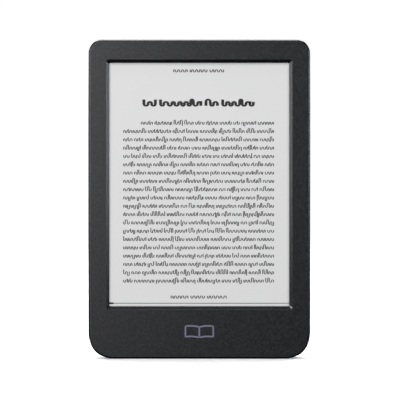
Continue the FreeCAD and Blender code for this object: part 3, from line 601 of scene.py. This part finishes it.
def chin_mark(looks):
    """A plain open book, printed in the middle of the chin."""
    mark = Print(BEZEL_LOW.y - 0.01 * MM, BEZEL_LOW.y + 0.01 * MM)
    low = MARK_Z - MARK_HEIGHT / 2
    for side in (-1, 1):
        spine = side * 0.05 * MM
        outer = side * MARK_HALF
        lower = page_edge(spine, outer, low, MARK_CURL)
        upper = [(x, z + MARK_HEIGHT - MARK_CURL) for x, z in lower]
        outline = lower + [(outer, (lower[-1][1] + upper[-1][1]) / 2)] + upper[::-1]
        mark.ribbon(outline, [MARK_STROKE] * len(outline))
    spine_low = low + 0.2 * MM
    mark.ribbon([(0, spine_low), (0, spine_low + MARK_HEIGHT - MARK_CURL)], [MARK_STROKE] * 2)
    mark.finish("chin_mark", looks["mark_ink"])


# ---------------------------------------------------------------- raised dots on the back

FIELD_DEPTH = 0.15 * MM
FIELD_HALF = 42.2 * MM
FIELD_Z = (18.2 * MM, 126.0 * MM)
DOT_PITCH = 2.4 * MM
DOT_R = 0.56 * MM
DOT_HEIGHT = 0.13 * MM
DOT_SIDES = 10
# Rings of a dot, as shares of its radius and of its height
DOT_RINGS = ((1.0, -0.15), (0.97, 0.12), (0.8, 0.6), (0.45, 0.92))


def grip_dots(looks):
    """The field of low round dots, moulded in staggered rows, that makes the back easy to hold."""
    points = []
    faces = []
    floor = COVER_HIGH.y - FIELD_DEPTH
    row_pitch = DOT_PITCH * math.sin(math.radians(60))
    rows = int((FIELD_Z[1] - FIELD_Z[0]) / row_pitch) + 1
    for row in range(rows):
        z = FIELD_Z[0] + row * row_pitch
        half = FIELD_HALF - (DOT_PITCH / 2 if row % 2 else 0)
        for column in range(int(round(2 * half / DOT_PITCH)) + 1):
            add_dot(points, faces, -half + column * DOT_PITCH, floor, z)
    mesh = bpy.data.meshes.new("grip_dots")
    mesh.from_pydata(points, [], faces)
    mesh.shade_smooth()
    mesh.materials.append(looks["cover_plastic"].material)
    dots = bpy.data.objects.new("grip_dots", mesh)
    bpy.context.scene.collection.objects.link(dots)
    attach(dots, "housing")


def add_dot(points, faces, x, y, z):
    start = len(points)
    for share, rise in DOT_RINGS:
        for i in range(DOT_SIDES):
            angle = 2 * math.pi * i / DOT_SIDES
            reach = share * DOT_R
            across, up = reach * math.cos(angle), reach * math.sin(angle)
            points.append((x + across, y + rise * DOT_HEIGHT, z + up))
    points.append((x, y + DOT_HEIGHT, z))
    top = len(points) - 1
    last = start + DOT_SIDES * (len(DOT_RINGS) - 1)
    faces.append([start + i for i in range(DOT_SIDES)])
    for i in range(DOT_SIDES):
        after = (i + 1) % DOT_SIDES
        for ring in range(start, last, DOT_SIDES):
            faces.append((ring + i, ring + DOT_SIDES + i, ring + DOT_SIDES + after, ring + after))
        faces.append((last + i, top, last + after))


# ---------------------------------------------------------------- stage, camera and lights

CAMERA_X = 0.35 * MM
CAMERA_Z = 80.05 * MM
CAMERA_DISTANCE = 560.6 * MM
OUTLINE_Y = -3.4 * MM


def camera():
    data = bpy.data.cameras.new("camera")
    data.lens = 100
    data.sensor_width = 36
    data.clip_start = 0.01
    data.clip_end = 20
    eye = bpy.data.objects.new("camera", data)
    eye.location = (CAMERA_X, OUTLINE_Y - CAMERA_DISTANCE, CAMERA_Z)
    eye.rotation_euler = (math.radians(90), 0, 0)
    bpy.context.scene.collection.objects.link(eye)
    bpy.context.scene.camera = eye


def soft_light(name, place, target, size, power, colour=(1, 1, 1)):
    data = bpy.data.lights.new(name, "AREA")
    data.shape = "RECTANGLE"
    data.size, data.size_y = size
    data.energy = power
    data.color = colour
    lamp = bpy.data.objects.new(name, data)
    lamp.location = place
    aim = Vector(target) - Vector(place)
    lamp.rotation_euler = aim.to_track_quat("-Z", "Y").to_euler()
    bpy.context.scene.collection.objects.link(lamp)


def backdrop():
    """A round white sheet. It is flat under the reader, curves up to a wall all round, and glows
    more the further out it is."""
    floor_r, curve_r, height, turns, steps = 1.5, 0.8, 2.6, 64, 12
    glow_start, glow_end, glow = 0.25, 1.6, 0.78
    profile = [(0.12, 0.0), (0.5, 0.0), (floor_r, 0.0)]
    for i in range(1, steps + 1):
        angle = math.pi / 2 * i / steps
        profile.append((floor_r + curve_r * math.sin(angle), curve_r - curve_r * math.cos(angle)))
    profile.append((floor_r + curve_r, height))
    points = []
    faces = [list(range(turns))]
    for radius, z in profile:
        for i in range(turns):
            angle = 2 * math.pi * i / turns
            points.append((radius * math.cos(angle), radius * math.sin(angle), z))
    for ring in range(0, turns * (len(profile) - 1), turns):
        for i in range(turns):
            after = (i + 1) % turns
            faces.append((ring + i, ring + turns + i, ring + turns + after, ring + after))
    mesh = bpy.data.meshes.new("backdrop")
    mesh.from_pydata(points, [], faces)
    mesh.shade_smooth()
    s = Surface("backdrop_paper", Specular_IOR_Level=0.1, Emission_Color=(1, 1, 1, 1))
    s.colour(s.blend(s.noise(0.04, 3), (0.86, 0.86, 0.86, 1), (0.88, 0.88, 0.88, 1)))
    s.roughness(s.span(s.noise(0.003), 0, 1, 0.8, 0.9))
    distance = s.node("ShaderNodeVectorMath", {0: s.place}, operation="LENGTH").outputs["Value"]
    strength = s.span(distance, glow_start, glow_end, 0, glow, smooth=True)
    s.feed(s.shader.inputs["Emission Strength"], strength)
    mesh.materials.append(s.material)
    sheet = bpy.data.objects.new("backdrop", mesh)
    bpy.context.scene.collection.objects.link(sheet)
    sheet.visible_diffuse = False
    sheet.visible_glossy = False


def around(azimuth, elevation, distance):
    """A point round the middle of the reader. Azimuth 0 is in front of it, and 90 on its right."""
    turn = math.radians(azimuth)
    rise = math.radians(elevation)
    level = distance * math.cos(rise)
    return (level * math.sin(turn), -level * math.cos(turn), HEIGHT / 2 + distance * math.sin(rise))


def lights():
    world = bpy.data.worlds.new("world")
    world.use_nodes = True
    world.node_tree.nodes["Background"].inputs["Color"].default_value = (0.9, 0.95, 1, 1)
    world.node_tree.nodes["Background"].inputs["Strength"].default_value = 0.03
    bpy.context.scene.world = world
    middle = (0, 0, HEIGHT / 2)
    soft_light("key_low", around(-26, 5, 1.7), middle, (0.64, 0.64), 9.9)
    soft_light("key_high", around(-26, 20, 1.7), middle, (0.64, 0.64), 11.5)
    soft_light("key_side", around(-40, 10, 1.7), middle, (0.64, 0.64), 6.8)
    soft_light("fill_right", around(60, 8, 1.2), middle, (0.3, 0.4), 7.2, (0.84, 0.91, 1))
    soft_light("edge_left", around(-42, 8, 1.2), middle, (0.12, 0.5), 1.5)
    soft_light("fill_top", around(-5, 62, 1.2), middle, (0.4, 0.3), 2.4)
    soft_light("floor_near", (0, 0.12, 0.7), (0, 0.06, 0), (0.7, 0.5), 7.9)
    soft_light("floor_far", (0, 0.3, 1.0), (0, 0.1, 0), (1.0, 0.7), 7.9)
    soft_light("back_left", (-0.9, 0.8, 0.6), middle, (0.7, 0.7), 14.0)
    soft_light("back_right", (0.9, 0.8, 0.6), middle, (0.7, 0.7), 10.0)


bpy.context.scene.view_settings.view_transform = "Standard"
camera()
backdrop()
lights()
LOOKS = finishes()
dress(LOOKS)
snap_dome(LOOKS)
page_print(LOOKS)
progress_bar(LOOKS)
chin_mark(LOOKS)
grip_dots(LOOKS)
